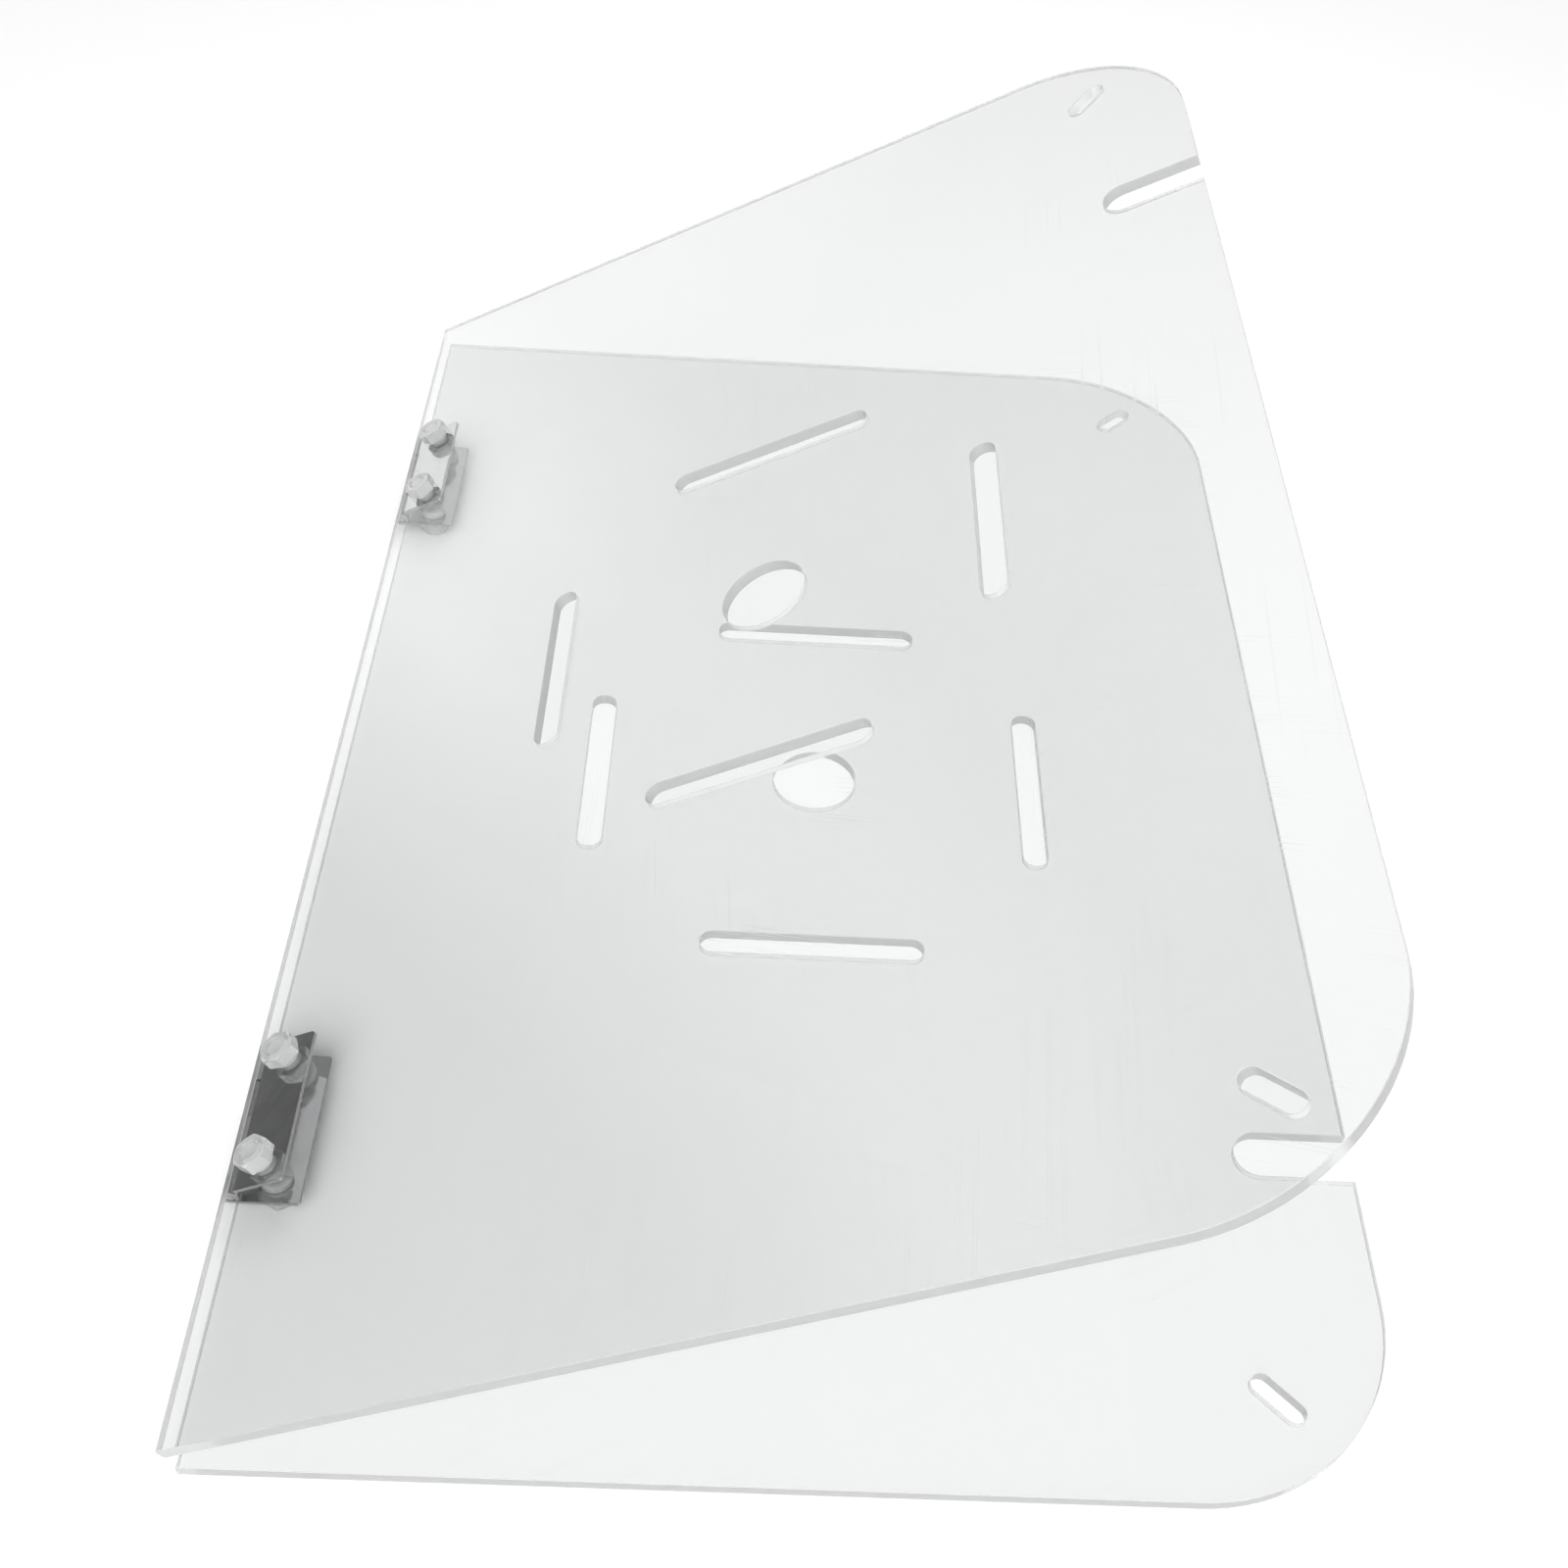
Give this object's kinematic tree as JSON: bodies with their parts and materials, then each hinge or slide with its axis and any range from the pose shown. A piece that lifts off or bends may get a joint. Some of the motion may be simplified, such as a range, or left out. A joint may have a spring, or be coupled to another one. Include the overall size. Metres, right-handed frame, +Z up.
{
  "type": "sneeze guard",
  "caption": "Folding clear acrylic sneeze guard: two rounded panels with talk slots, a round hole and edge notches, joined by small steel butt hinges.",
  "frame": {"origin": "centre of the bottom of the folded guard's bounding box, on the counter, under its lower hex nuts", "axes": "+X from the hinge towards the panels' free edges, +Y along the hinge away from the viewer, +Z up; the lower panel is level"},
  "size_m": [0.3278, 0.508, 0.1685],
  "materials": {
    "acrylic": "polished clear sheet with fine scratches",
    "clear_fastener": "clear moulded plastic",
    "steel": "polished stainless steel"
  },
  "bodies": {
    "lower_side": {"far_hinge_lower_leaf": "steel", "far_hinge_pin": "steel", "lower_nut_1": "clear_fastener", "lower_nut_2": "clear_fastener", "lower_nut_3": "clear_fastener", "lower_nut_4": "clear_fastener", "lower_panel": "acrylic", "lower_screw_1": "clear_fastener", "lower_screw_2": "clear_fastener", "lower_screw_3": "clear_fastener", "lower_screw_4": "clear_fastener", "near_hinge_lower_leaf": "steel", "near_hinge_pin": "steel"},
    "upper_side": {"far_hinge_upper_leaf": "steel", "near_hinge_upper_leaf": "steel", "upper_nut_1": "clear_fastener", "upper_nut_2": "clear_fastener", "upper_nut_3": "clear_fastener", "upper_nut_4": "clear_fastener", "upper_panel": "acrylic", "upper_screw_1": "clear_fastener", "upper_screw_2": "clear_fastener", "upper_screw_3": "clear_fastener", "upper_screw_4": "clear_fastener"}
  },
  "joints": [
    {"name": "fold", "type": "hinge", "parent": "lower_side", "child": "upper_side", "pos_m": [-0.16123, 0, 0.0112], "axis": [0, -1, 0], "range_deg": [0, 152.25]}
  ]
}
